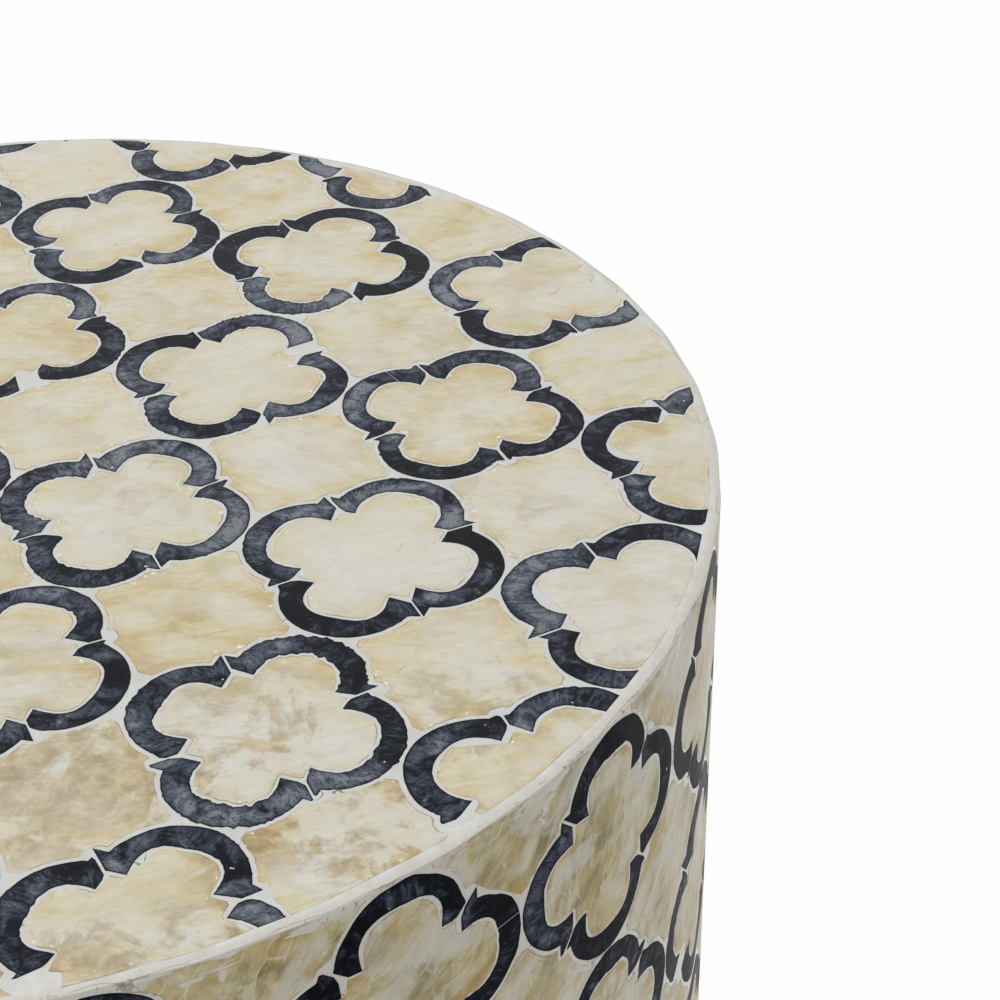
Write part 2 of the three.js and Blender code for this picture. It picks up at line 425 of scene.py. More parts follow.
class Layout:
    """The marquetry of one surface: arcs, quatrefoil tiles and star tiles in lattice coordinates.
    steps and rays are how finely arcs and tiles are drawn, and shade is added to the arcs' random numbers."""

    def __init__(self, columns, rows, wraps, limit, steps, rays, shade, seed):
        self.rng = random.Random(seed)
        self.shade, self.seed = shade, seed
        self.limit, self.wraps = limit, wraps
        self.steps, self.angles = steps, compass(rays)
        self.inner_tile, self.star_tile = nominal_tiles(rays)
        self.columns, self.rows = columns, rows
        self.arcs, self.parts = {}, []
        for i in self.columns:
            for j in self.rows:
                for quarter in range(4):
                    self.lay_arc(i, j, quarter)

    def column(self, i):
        return i % self.wraps if self.wraps else i

    def joint(self, i, j, axis):
        """The shift and the gap between two facing lobes, which come out the same for both."""
        rng = random.Random(f"{self.seed} joint {(self.column(i), j, axis)}")
        return spread(rng, 0.008), 0.004 + min(0.012, rng.expovariate(1 / 0.004))

    def seam(self, i, j, diagonal):
        """The seam on a diagonal, which comes out the same for both arcs that it ends."""
        return Seam(random.Random(f"{self.seed} seam {(i, j, diagonal % 4)}"))

    def lay_arc(self, i, j, quarter):
        along, up = ((1, 0), (0, 1), (-1, 0), (0, -1))[quarter]
        shift, gap = self.joint(i + min(along, 0), j + min(up, 0), quarter % 2)
        if quarter > 1:
            shift = -shift
        if self.wraps and not self.rows[0] <= j + up <= self.rows[-1]:
            shift = -abs(shift) * 0.3
        seams = (self.seam(i, j, quarter - 1), self.seam(i, j, quarter))
        arc = draw_arc(self.rng, 0.5 - gap + shift, seams, self.steps).placed(quarter, Vector((i, j)))
        arc.roughen(11 * i + 5 * j + quarter, self.rng.choice((0.5, 0.9, 1.6)))
        arc.tint += self.shade
        self.arcs[i, j, quarter] = arc
        for piece in arc.cracked(self.rng):
            self.parts += cut_round(piece, self.limit)

    def walls_near(self, places, gap):
        for i, j, quarters in places:
            column = self.column(i)
            for q in quarters:
                arc = self.arcs.get((column, j, q))
                if arc:
                    yield arc.walls(gap) + (i - column, 0)

    def tile(self, middle, nominal, places, gap):
        """The centre and outline of one pale tile, held back by its arcs, its own shape and the limit,
        or None where little or nothing of it is left."""
        middle = np.array(middle, float)
        shape = middle + directions(self.angles) * nominal[:, None]
        walls = np.concatenate([segments(shape), *self.walls_near(places, gap)])
        centre = self.best_centre(middle, shape, walls)
        if centre is None:
            return None
        lane = 100 + 3 * middle[0] + 7 * middle[1]
        back = [0.003 + 0.004 * wobble(cos(a), sin(a), lane, 0.3)
                + 0.0022 * wobble(cos(a), sin(a), lane + 1, 0.05) for a in self.angles]
        reach = self.reach_from(centre, self.angles, walls, back)
        return None if reach.max() < LEAST_TILE else (centre, np.maximum(reach, LEAST_REACH))

    def reach_from(self, centre, angles, walls, back=0):
        """How far rays run from the centre to the walls, less back, and no further than the limit."""
        reach, start = ray_reach(centre, angles, walls) - back, Vector(centre)
        for k, angle in enumerate(angles):
            way = Vector((cos(angle), sin(angle)))
            if self.limit(start + way * reach[k]) > 0:
                reach[k] = last_inside(lambda far: self.limit(start + way * far), reach[k])
        return reach

    def best_centre(self, middle, shape, walls):
        """The tile's own middle, or the place that sees the most of what the limit leaves of it."""
        if all(self.limit(Vector(p)) < 0 for p in shape):
            return middle
        best, most = None, 0
        reach = np.linalg.norm(shape - middle, axis=1)
        for u in SEARCH:
            for v in SEARCH:
                place = middle + (u, v)
                ray = round(atan2(v, u) / (2 * pi) * len(reach)) % len(reach)
                if min(-self.limit(Vector(place)), reach[ray] - hypot(u, v)) < CLEARANCE:
                    continue
                seen = (self.reach_from(place, self.angles[::6], walls) ** 2).sum()
                if seen > most:
                    best, most = place, seen
        return best

    def quatrefoil_tiles(self):
        for i in self.columns:
            for j in self.rows:
                yield self.tile((i, j), self.inner_tile, [(i, j, range(4))], INNER_GAP)

    def star_tiles(self, columns, rows):
        for i in columns:
            for j in rows:
                around = [(i, j, (0, 1)), (i + 1, j, (1, 2)), (i, j + 1, (0, 3)), (i + 1, j + 1, (2, 3))]
                yield self.tile((i + 0.5, j + 0.5), self.star_tile, around, STAR_GAP)


def girth(angle):
    """The wall's radius at an angle."""
    return drum_radius - STRIP_DIP * (1 - np.cos(STRIPS * (angle - FIRST_STRIP)))


def on_top(points, depth):
    """Lattice points to the flat top, at a depth below its surface."""
    flat = rotated((points + TOP_SHIFT) * TOP_PITCH, TOP_ANGLE)
    return np.column_stack([flat, np.full(len(flat), drum_top - depth)])


def on_wall(points, depth):
    """Lattice points to the round wall: columns go round, and the rows go up from the lowest, -5, to 0."""
    angle = FIRST_COLUMN + points[:, 0] * COLUMN_STEP
    radius = girth(angle) - depth
    z = drum_top - WALL_START + (points[:, 1] - 0.5) * ROW_PITCH
    return np.column_stack([radius[:, None] * directions(angle), z])


def quads(one, next_one):
    """The faces between two grids of indices, from each row to the following one."""
    return np.stack([one[:-1], next_one[:-1], next_one[1:], one[1:]], 2).reshape(-1, 4).tolist()


class Plates:
    """Gathers the plates of one kind into one mesh, with what the finishes read at each point:
    plate is the place on the unrolled surface in millimetres with the plate's random number as Z,
    grain the place along and across the plate's own grain in millimetres,
    and edge the distance from the plate's rim in millimetres."""

    def __init__(self, name, surface, pitch):
        self.name, self.surface = name, surface
        self.pitch = np.array(pitch) / MM * np.ones(2)
        self.points, self.faces = [], []
        self.plate, self.grain, self.edge = [], [], []
        self.count = 0

    def add(self, flat, caps, rim, grain, edge, tint):
        """flat are the lattice points, caps the faces seen from outside, rim the outline's indices."""
        low = flat[rim]
        first, below = self.count, self.count + len(flat)
        self.points += [self.surface(flat, 0), self.surface(low, PLATE_DEPTH)]
        self.faces += [[first + k for k in face] for face in caps]
        self.faces.append([below + k for k in range(len(rim))][::-1])
        for k in range(len(rim)):
            other = (k + 1) % len(rim)
            self.faces.append([first + rim[other], first + rim[k], below + k, below + other])
        millimetres = np.concatenate([flat, low]) * self.pitch
        tints = np.full(len(millimetres), tint)
        self.plate.append(np.column_stack([millimetres, tints]))
        self.grain.append(np.column_stack([np.concatenate([grain, grain[rim]]), tints]))
        self.edge.append(np.concatenate([edge, np.zeros(len(rim))]))
        self.count += len(flat) + len(rim)

    def add_arc(self, arc):
        across, long = len(ACROSS), len(arc.inner)
        inner, outer = as_array(arc.inner), as_array(arc.outer)
        shares = ACROSS[:, None]
        flat = (inner[:, None] * (1 - shares) + outer[:, None] * shares).reshape(-1, 2)
        grid = np.arange(long * across).reshape(long, across)
        rim = np.concatenate([grid[:, -1], grid[-1, -2:0:-1], grid[::-1, 0], grid[0, 1:-1]]).tolist()
        middle = (inner + outer) / 2 * self.pitch
        along = np.concatenate([[0], np.cumsum(np.linalg.norm(np.diff(middle, axis=0), axis=1))])
        width = np.linalg.norm((outer - inner) * self.pitch, axis=1)
        over = width[:, None] * (ACROSS - 0.5)
        grain = np.stack([over, np.repeat(along[:, None], across, 1)], 2).reshape(-1, 2)
        from_end = np.minimum(along, along[-1] - along)[:, None]
        edge = np.minimum(width[:, None] / 2 - np.abs(over), from_end).ravel()
        self.add(flat, quads(grid[:, :-1], grid[:, 1:]), rim, grain, edge, arc.tint)

    def add_tile(self, centre, reach, tint, lay):
        """reach is how far the outline lies from the centre on each ray, lay the grain's angle."""
        rays, size = len(reach), self.pitch.mean()
        rings = [reach - np.minimum(deep / size, reach * share) for deep, share in EDGE_RINGS]
        depth = [np.minimum(deep, reach * size * share) for deep, share in EDGE_RINGS]
        for share in INNER_RINGS:
            rings.append(np.minimum(rings[-1], reach * share))
            depth.append((reach - rings[-1]) * size)
        direction = directions(compass(rays))
        flat = np.concatenate([centre + direction * ring[:, None] for ring in rings] + [[centre]])
        edge = np.concatenate(depth + [[reach.min() * size]])
        grid = np.arange(len(rings) * rays).reshape(-1, rays)
        caps = quads(grid, np.roll(grid, -1, axis=1))
        inner, hub = grid[-1].tolist(), grid.size
        caps += [[a, b, hub] for a, b in zip(inner, inner[1:] + inner[:1])]
        grain = rotated((flat - centre) * self.pitch, -lay)
        self.add(flat, caps, list(range(rays)), grain, edge, tint)

    def build(self, material):
        mesh = bpy.data.meshes.new(self.name)
        mesh.from_pydata(np.concatenate(self.points).tolist(), [], self.faces)
        for name, rows in (("plate", self.plate), ("grain", self.grain)):
            layer = mesh.attributes.new(name, "FLOAT_VECTOR", "POINT")
            layer.data.foreach_set("vector", np.concatenate(rows).astype(np.float32).ravel())
        edge = mesh.attributes.new("edge", "FLOAT", "POINT")
        edge.data.foreach_set("value", np.concatenate(self.edge).astype(np.float32))
        piece = into_scene(self.name, mesh)
        mesh.materials.append(material)
        round_the_drum(mesh)
        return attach(piece, "root")


def read(items, name, width=1, kind=float):
    """One value of every item of a mesh, as rows of a width."""
    values = np.zeros(len(items) * width, kind)
    items.foreach_get(name, values)
    return values.reshape(-1, width)


def round_the_drum(mesh):
    """Faces that lie on the round wall get the drum's own normals, so that they shine as one surface."""
    mesh.shade_smooth()
    corner = read(mesh.loops, "vertex_index", kind=int)[:, 0]
    sizes = read(mesh.polygons, "loop_total", kind=int)[:, 0]
    normals = np.repeat(read(mesh.polygons, "normal", 3), sizes, axis=0)
    x, y, _ = read(mesh.vertices, "co", 3)[corner].T
    angle = np.arctan2(y, x)
    slope = -STRIP_DIP * STRIPS * np.sin(STRIPS * (angle - FIRST_STRIP)) / drum_radius
    c, s = np.cos(angle), np.sin(angle)
    radial = np.column_stack([c + slope * s, s - slope * c, 0 * c])
    radial /= np.linalg.norm(radial, axis=1)[:, None]
    facing = np.sum(radial * normals, axis=1) > 0.9
    normals[facing] = radial[facing]
    mesh.normals_split_custom_set(normals.tolist())


# Finishes

RESIN = (209, 208, 203)
WHITE = (1, 1, 1, 1)


def tone(*levels):
    """A colour's red, green and blue as seen on a screen, 0 to 255, as the shader's linear numbers."""
    shares = [level / 255 for level in levels]
    return [s / 12.92 if s <= 0.04045 else ((s + 0.055) / 1.055) ** 2.4 for s in shares] + [1]


def feed(tree, socket, value):
    """Links a socket to a field or to a node's first output, or sets it to a plain value."""
    if isinstance(value, Field):
        tree.links.new(value.socket, socket)
    elif isinstance(value, bpy.types.Node):
        tree.links.new(value.outputs[0], socket)
    else:
        socket.default_value = value


def add_node(tree, kind, inputs=(), **settings):
    """A shader node of a kind, with its settings, and its inputs by name or number."""
    new = tree.nodes.new("ShaderNode" + kind)
    for key, value in settings.items():
        setattr(new, key, value)
    for key, value in dict(inputs).items():
        feed(tree, new.inputs[key], value)
    return new


class Field:
    """A number, place or colour that a shader works out at each point, with its sums written as in Python."""

    def __init__(self, tree, socket):
        self.tree, self.socket = tree, socket

    def node(self, kind, inputs, output=0, **settings):
        return Field(self.tree, add_node(self.tree, kind, inputs, **settings).outputs[output])

    def math(self, operation, *others):
        return self.node("Math", dict(enumerate((self, *others))), operation=operation)

    def vector(self, operation, *others, output=0):
        inputs = dict(enumerate((self, *others)))
        return self.node("VectorMath", inputs, output, operation=operation)

    def __add__(self, other):
        return self.math("ADD", other)

    def __sub__(self, other):
        return self.math("SUBTRACT", other)

    def __rsub__(self, other):
        return self.node("Math", {0: other, 1: self}, operation="SUBTRACT")

    def __mul__(self, other):
        return self.math("MULTIPLY", other)

    def scaled(self, factor):
        """The place, farther out by a factor."""
        return self.node("VectorMath", {0: self, "Scale": factor}, operation="SCALE")

    def parts(self):
        """The place's X, Y and Z."""
        split = add_node(self.tree, "SeparateXYZ", {0: self})
        return [Field(self.tree, socket) for socket in split.outputs]

    def between(self, low, high, to_low=0, to_high=1):
        """The number eased from to_low at low to to_high at high, and level past them."""
        inputs = {"Value": self, "From Min": low, "From Max": high, "To Min": to_low, "To Max": to_high}
        return self.node("MapRange", inputs, "Result", interpolation_type="SMOOTHSTEP")

    def band(self, low, high, soft):
        """1 between low and high, fading over soft."""
        return self.between(low - soft, low + soft) * self.between(high - soft, high + soft, 1, 0)

    def ramp(self, *stops):
        """The colour that the number stands for: a stop has a number and a tone, or a number and a grey."""
        ramp = add_node(self.tree, "ValToRGB", {0: self})
        elements = ramp.color_ramp.elements
        while len(elements) < len(stops):
            elements.new(0.5)
        for element, (position, *levels) in zip(elements, stops):
            element.position = position
            element.color = tone(*levels) if len(levels) == 3 else levels * 3 + [1]
        return Field(self.tree, ramp.outputs["Color"])

    def mix(self, share, other, blend="MIX"):
        """The colour, with another laid over it by a share."""
        inputs = {0: share, 6: self, 7: other}
        return self.node("Mix", inputs, 2, data_type="RGBA", blend_type=blend)

    def bump(self, depth, strength):
        inputs = {"Height": self, "Strength": strength, "Distance": depth * MM}
        return self.node("Bump", inputs, "Normal")

    def noise(self, size, detail=2, rough=0.5, bend=0, output="Fac"):
        """Smooth noise at the place, whose swells are about a size."""
        inputs = {"Vector": self, "Scale": 1 / size, "Detail": detail, "Roughness": rough, "Distortion": bend}
        return self.node("TexNoise", inputs, output)

    def blots(self, size, low, high, most=1, **looks):
        """Noise made into soft blots, from 0 where it is low to most where it is high."""
        return self.noise(size, **looks).between(low, high, 0, most)

    def drawn_out(self, share, size, **looks):
        """Noise drawn out along the grain, where a step counts for only a share."""
        return self.vector("MULTIPLY", (share, 1, 1)).noise(size, **looks)

    def cells(self, size, feature, output):
        """Angular patches of about a size, drawn out a little along the grain."""
        bent = self.noise(size / 0.7, output="Color").vector("MULTIPLY_ADD", (0.8 * size,) * 3, self)
        inputs = {"Vector": bent.vector("MULTIPLY", (0.45, 1, 1)), "Scale": 1 / size}
        return self.node("TexVoronoi", inputs, output, feature=feature)

    def facets(self, size):
        """A random number for each patch."""
        return self.node("SeparateColor", {0: self.cells(size, "F1", "Color")})

    def creases(self, size):
        """Millimetres from the lines between the patches."""
        return self.cells(size, "DISTANCE_TO_EDGE", "Distance") * size


class Finish:
    """A material with a Principled shader, whose colour is built up in layers."""

    def __init__(self, name, **sockets):
        self.material = bpy.data.materials.new(name)
        self.material.use_nodes = True
        self.tree = self.material.node_tree
        self.shader = self.tree.nodes["Principled BSDF"]
        self.set(**sockets)
        self.place = self.source("TexCoord", "Object").scaled(1 / MM)
        self.color = None

    def set(self, **sockets):
        for socket, value in sockets.items():
            feed(self.tree, self.shader.inputs[socket.replace("_", " ")], value)

    def source(self, kind, output, **settings):
        return Field(self.tree, add_node(self.tree, kind, **settings).outputs[output])

    def over(self, share, *levels):
        """Lays a tone over what is there, by a share from 0 to 1."""
        self.color = self.color.mix(share, tone(*levels))

    def rim_distance(self):
        """Millimetres from the drum's edge, seen from above."""
        return drum_radius / MM - self.place.vector("MULTIPLY", (1, 1, 0)).vector("LENGTH", output="Value")

    def finished(self, relief, depth, strength):
        """The material in its colour, with a relief that is a depth in millimetres."""
        self.set(Base_Color=self.color, Normal=relief.bump(depth, strength))
        return self.material

    def coated(self, relief, depth, strength, weight=0.4):
        """The same under the clear gloss, with the slight waves of a hand-poured coat."""
        waves = self.place.noise(22, detail=1.5).bump(0.6, 0.3)
        self.set(Coat_Weight=weight, Coat_Roughness=0.05, Coat_IOR=1.28, Coat_Normal=waves)
        return self.finished(relief, depth, strength)


class ShellFinish(Finish):
    """The finish of shell plates, which also reads the attributes that Plates gives them."""

    def __init__(self, name, **sockets):
        super().__init__(name, **sockets)
        self.edge = self.source("Attribute", "Fac", attribute_name="edge")
        self.plate, self.tint = self.apart("plate")
        self.grain, _ = self.apart("grain")

    def apart(self, name):
        """A place in millimetres, set apart for each plate by its random number, and that number."""
        x, y, tint = self.source("Attribute", "Vector", attribute_name=name).parts()
        return x.node("CombineXYZ", {0: x, 1: y, 2: tint * 900}), tint

    def sawn_edge(self, line_tone, inner_tone):
        """A thin dark line along the plate's rim that comes and goes, with a paler one inside it."""
        line = (self.edge + self.plate.noise(1.3) * 0.7).band(0.15, 0.68, 0.14)
        self.over(line * self.plate.blots(7, 0.4, 0.62) * 0.8, *line_tone)
        echo = (self.edge + self.plate.noise(4) * 1.2).band(1.9, 2.3, 0.2)
        self.over(echo * self.plate.blots(9, 0.46, 0.6, detail=1) * 0.4, *inner_tone)


def pale_clouds(paint):
    """Clouds of yellow towards each plate's rim, fewer at the drum's front and edge and more at its back."""
    cloud = paint.grain.drawn_out(0.6, 17, detail=7, rough=0.6, bend=0.6)
    paler, depth = paint.edge.between(0, 11, -0.06, 0.05), paint.place.parts()[1]
    paler = paler + depth.between(-20, 150, 0, -0.055) + depth.between(-165, -60, 0.05, 0)
    paler += paint.rim_distance().between(4, 13, 0.09, 0)
    choice = cloud + (paint.tint * 0.17 - 0.04) + paler
    paint.color = choice.ramp(
        (0.34, 195, 176, 131),
        (0.43, 205, 192, 156),
        (0.51, 208, 200, 175),
        (0.6, 208, 203, 186),
        (0.74, 210, 207, 197),
    )


def pale_streaks(paint):
    """Wisps, fibres and flakes of the cream shell; returns the fibres, which also show as a bump."""
    wisps = paint.grain.drawn_out(0.3, 4.5, detail=5, rough=0.62, bend=1.4)
    paint.over(wisps.between(0.5, 0.68, 0, 0.4), 221, 215, 198)
    paint.over(wisps.between(0.47, 0.32, 0, 0.36), 200, 182, 140)
    fibre = paint.grain.drawn_out(0.16, 0.8, detail=4, rough=0.65, bend=0.6)
    paint.color = paint.color.mix(0.44, fibre.ramp((0.3, 0.84), (0.55, 0.985), (0.75, 1)), "MULTIPLY")
    flakes = paint.plate.blots(2, 0.5, 0.72, 0.22, detail=5, rough=0.7, bend=1.2)
    paint.over(flakes, 190, 176, 146)
    return fibre


def pale_age(paint):
    """Brown mottling and spots, most of them at the drum's front."""
    front = paint.place.parts()[1].between(-60, -165, 0.25, 1)
    aged = front * paint.plate.blots(60, 0.3, 0.52, detail=1)
    mottle = paint.plate.blots(21, 0.47, 0.57, detail=8, rough=0.66, bend=0.6)
    browns = paint.plate.noise(5, detail=6, rough=0.68)
    worn = browns.ramp((0.42, 150, 126, 80), (0.62, 194, 174, 130))
    paint.color = paint.color.mix(mottle * aged * 0.9, worn)
    spots = paint.plate.blots(8, 0.52, 0.74, detail=3, rough=0.6)
    paint.over(spots * aged * 0.7, 142, 124, 86)


def pale_shell():
    """Cream shell, drawn along its grain, that fades into the resin at the drum's rim, with painted
    highlights as white glints near its edges.
    """
    paint = ShellFinish("pale_shell", Roughness=0.34, Specular_IOR_Level=0.25)
    plate, edge = paint.plate, paint.edge
    pale_clouds(paint)
    fibre = pale_streaks(paint)
    pale_age(paint)
    gold = plate.blots(7, 0.58, 0.74, detail=3)
    paint.over(gold * edge.between(1, 7, 0.6, 0.12), 202, 185, 142)
    wrinkles = paint.grain.creases(17).between(0, 0.24, 1, 0)
    paint.over(wrinkles * plate.blots(12, 0.6, 0.7, 0.45), 158, 136, 96)
    # Painted highlights: small white flecks near the plates' edges stand in for the shell's pearly shine.
    painted_glints = plate.blots(1.8, 0.6, 0.68, detail=3) * edge.between(0.5, 3.5, 1, 0)
    paint.over(painted_glints * plate.blots(20, 0.45, 0.6), 228, 226, 216)
    paint.sawn_edge((146, 130, 98), (178, 158, 120))
    wash = paint.rim_distance() + plate.noise(9, detail=3) * 5
    paint.over(wash.between(4.5, 6.2, 0.9, 0), *RESIN)
    return paint.coated(fibre, 0.04, 0.3)


def wall_strips(paint):
    """The wall shell's strips: their count across the grain, a grain shifted for each, and its own number."""
    wander = paint.plate.noise(14) * 14
    strip = (paint.grain.parts()[1] + wander) * (1 / 17) + paint.tint * 7
    key = strip.node("CombineXYZ", {0: strip.math("FLOOR"), 1: paint.tint * 57})
    own = add_node(paint.tree, "TexWhiteNoise", {"Vector": key}, noise_dimensions="2D")
    shift, level = (Field(paint.tree, own.outputs[output]) for output in ("Color", "Value"))
    return strip, paint.grain.vector("ADD", shift.scaled(60)), level


def wall_clouds(paint, field, streak, level):
    """Olive, grey and brown clouds, with a shade of its own for each strip and facet."""
    plate = paint.plate
    cloud = field.noise(14, detail=6, rough=0.58, bend=0.8)
    patch = plate.noise(30, detail=3, bend=0.5)
    choice = streak * 0.35 + cloud * 0.65 + (patch - 0.5) * 0.6
    choice += level * 0.1 - 0.05
    choice += field.facets(8) * 0.07 - 0.035
    paint.color = choice.ramp(
        (0.34, 130, 115, 78),
        (0.42, 167, 153, 114),
        (0.5, 190, 180, 147),
        (0.57, 199, 193, 169),
        (0.66, 206, 203, 190),
    )
    amber = plate.blots(16, 0.46, 0.62, detail=4, rough=0.6, bend=0.5)
    paint.over(amber * 0.55, 182, 156, 92)
    paint.over(plate.blots(24, 0.5, 0.62, 0.75, detail=4, bend=0.5), 198, 195, 182)
    brown = plate.blots(15, 0.55, 0.67, 0.42, detail=6, rough=0.62, bend=0.6)
    paint.over(brown, 136, 111, 67)


def wall_scratches(paint, field):
    """Pale veins and scratches, and painted highlights as white glints; returns the scratches, which also
    show as a bump.
    """
    veins = field.creases(9).between(0, 0.36, 1, 0)
    paint.over(veins * paint.plate.blots(8, 0.42, 0.64) * 0.6, 216, 209, 186)
    scratch = field.drawn_out(0.14, 0.8, detail=4, rough=0.65, bend=0.5)
    paint.over(scratch.between(0.54, 0.7, 0, 0.4), 212, 204, 178)
    paint.over(scratch.between(0.45, 0.3, 0, 0.3), 112, 94, 58)
    # Painted highlights: white flecks stand in for the shine of the shell's foil-like wrinkles.
    painted_glints = field.blots(3.6, 0.6, 0.7, detail=5, rough=0.7, bend=1)
    paint.over(painted_glints * 0.4, 222, 216, 198)
    return scratch


def wall_shell():
    """Olive and gold shell in upright strips, wrinkled like foil, with fine pale scratches."""
    paint = ShellFinish("wall_shell", Roughness=0.36, Specular_IOR_Level=0.1)
    strip, field, level = wall_strips(paint)
    streak = field.drawn_out(0.4, 5, detail=5, rough=0.62, bend=1.2)
    wall_clouds(paint, field, streak, level)
    scratch = wall_scratches(paint, field)
    gold = paint.plate.blots(13, 0.54, 0.66, detail=5, rough=0.6)
    paint.over(gold * paint.edge.between(1, 10, 0.8, 0.1), 176, 144, 70)
    split = (strip.math("FRACT") - 0.5).math("ABSOLUTE")
    paint.over(split.between(0.484, 0.496, 0, 0.55), 206, 201, 186)
    paint.sawn_edge((128, 106, 68), (162, 138, 92))
    wash = drum_top / MM - paint.place.parts()[2] + paint.plate.noise(11) * 6
    paint.over(wash.between(3.3, 4.3, 0.9, 0), *RESIN)
    return paint.coated(scratch + streak, 0.12, 0.5, weight=0.06)


def dark_shell(sheen=0.25):
    """Blue-black shell: grey clouds, streaks across each band, black outlines, and small white nicks."""
    paint = ShellFinish("dark_shell", Roughness=0.4, Specular_IOR_Level=sheen * 0.2)
    plate, grain, edge = paint.plate, paint.grain, paint.edge
    cloud = plate.noise(7, detail=7, rough=0.66, bend=0.9)
    streak = grain.drawn_out(0.35, 1.5, detail=5, rough=0.66, bend=1.2)
    lined = plate.noise(26, detail=1).between(0.42, 0.58, 0.1, 0.5)
    choice = cloud * (1 - lined) + streak * lined + (paint.tint * 0.15 - 0.045)
    paint.color = (choice + (plate.noise(24) - 0.5) * 0.5).ramp(
        (0.32, 5, 6, 9),
        (0.41, 11, 12, 18),
        (0.465, 25, 28, 37),
        (0.52, 55, 59, 71),
        (0.59, 80, 85, 97),
        (0.67, 122, 126, 132),
    )
    speckle = plate.noise(0.45, detail=3, rough=0.6).ramp((0.32, 0.62), (0.5, 1), (0.7, 1.25))
    paint.color = paint.color.mix(0.8, speckle, "MULTIPLY")
    paint.over(plate.blots(1, 0.58, 0.68) * 0.65, 12, 14, 20)
    paint.over(grain.blots(1.2, 0.66, 0.76, detail=4, rough=0.75) * 0.5, 150, 152, 150)
    paint.over(edge.between(0.3, 2.2, 0.45, 0), 14, 16, 23)
    paint.over((edge + plate.noise(1) * 0.6).between(0.5, 0.95, 0.9, 0), 9, 10, 17)
    paint.over(plate.blots(2.6, 0.74, 0.77, detail=3), *RESIN)
    return paint.coated(cloud, 0.06, 0.3, weight=sheen)


def resin():
    """White resin, duller inside the rim: faint clouds, rare dark specks and, near the rim, chips,
    a few dark hairline cracks and a line that wanders along it."""
    paint = Finish("white_resin", Roughness=0.34, Specular_IOR_Level=0.25)
    place, rim = paint.place, paint.rim_distance()
    paint.color = place.noise(6, detail=5, rough=0.65).ramp(
        (0.34, 199, 195, 184),
        (0.5, 208, 207, 202),
        (0.66, 216, 217, 215),
    )
    paint.over(rim.between(5, 11, 0, 0.55), 196, 196, 192)
    worn = rim + place.noise(5, detail=3) * 3
    paint.over(worn.between(2, 5.5, 0.75, 0), 195, 190, 176)
    specks = place.blots(0.9, 0.72, 0.77, detail=1) * place.blots(26, 0.52, 0.62)
    paint.over(specks * 0.8, 86, 78, 68)
    crack = (place.noise(14, detail=3, rough=0.4) - 0.5).math("ABSOLUTE").between(0.003, 0.006, 1, 0)
    paint.over(crack * place.blots(21, 0.6, 0.66) * 0.8, 104, 94, 80)
    chips = place.blots(2.4, 0.57, 0.62, detail=5, rough=0.7) * place.blots(15, 0.48, 0.56)
    paint.over(chips * rim.between(0.5, 1.7, 0.75, 0), 126, 110, 84)
    ridge = rim + place.noise(12, detail=4) * 5
    line = ridge.band(3.1, 3.3, 0.14) * rim.between(0.08, 0.3)
    paint.over(line * place.blots(30, 0.47, 0.55, 0.75, detail=1), 122, 112, 96)
    return paint.coated(place.noise(1.4, detail=3), 0.08, 0.4)


def timber(name, dark, light, turn, ring_size):
    """Bare wood with long grain along Z; dark and light are tones, and turn is the grain's about Z."""
    paint = Finish(name, Roughness=0.62)
    inputs = {"Vector": paint.place, "Rotation": (0, 0, turn), "Scale": (1, 1, 0.06)}
    long = paint.place.node("Mapping", inputs)
    grain = long.noise(ring_size, detail=6, rough=0.6, bend=1)
    paint.color = grain.ramp((0.34, *dark), (0.62, *light))
    paint.over(long.blots(ring_size * 0.14, 0.56, 0.7) * 0.35, *dark)
    return paint.finished(grain, 0.2, 0.4)


def fibreboard():
    paint = Finish("fibreboard", Roughness=0.8)
    fibre = paint.place.noise(0.7, detail=5, rough=0.7)
    mixed = fibre * 0.6 + paint.place.noise(20, detail=3) * 0.4
    paint.color = mixed.ramp((0.35, 112, 86, 58), (0.65, 158, 128, 92))
    return paint.finished(fibre, 0.2, 0.4)


def nylon():
    paint = Finish("nylon", Roughness=0.45)
    grain = paint.place.noise(0.4, detail=3)
    paint.color = grain.ramp((0.3, 28, 28, 27), (0.7, 44, 43, 41))
    return paint.finished(grain, 0.1, 0.3)


finishes = {
    "dark_shell": dark_shell(),
    "white_resin": resin(),
    "plywood": timber("plywood", (168, 130, 86), (214, 182, 136), 0, 9),
    "softwood": timber("softwood", (186, 148, 96), (226, 196, 146), 0.4, 6),
    "fibreboard": fibreboard(),
    "nylon": nylon(),
    "pale_shell": pale_shell(),
    "wall_shell": wall_shell(),
}

# The marquetry


def outside_top(p):
    """How far a lattice point lies past the top's plates, in pitches; the rim's inner line waves a little."""
    p = Vector((p.x + TOP_SHIFT[0], p.y + TOP_SHIFT[1]))
    angle = atan2(p.y, p.x) + TOP_ANGLE
    waver = cos(2 * angle + 1.2) + 0.8 * wobble(cos(angle), sin(angle), 5, 0.25)
    return p.length - (girth(angle) - (RIM_WIDTH + RIM_WAVER * waver)) / TOP_PITCH


def outside_wall(p):
    return max(p.y - 0.5 + WALL_MARGINS[0], -p.y - ROWS + 0.5 + WALL_MARGINS[1])


extent = ceil(drum_radius / TOP_PITCH) + 1
lattice = range(-extent, extent + 1)
top_layout = Layout(lattice, lattice, 0, outside_top, steps=56, rays=180, shade=0, seed=SEED)
columns, rows = range(COLUMNS), range(1 - ROWS, 1)
wall_layout = Layout(columns, rows, COLUMNS, outside_wall, steps=22, rays=88, shade=-0.65, seed=SEED + 1)
tints = random.Random(SEED + 2)


def lay(name, surface, pitch, finish, arcs=(), tiles=(), along=0, fanned=0.3, paint=None):
    """One piece of plates; the tiles' grain runs along an angle, fanned at random."""
    plates = Plates(name, surface, pitch)
    for arc in arcs:
        plates.add_arc(arc)
    for centre, reach in filter(None, tiles):
        plates.add_tile(centre, reach, tints.random(), along + spread(tints, fanned))
    plates.build(paint or finishes[finish])


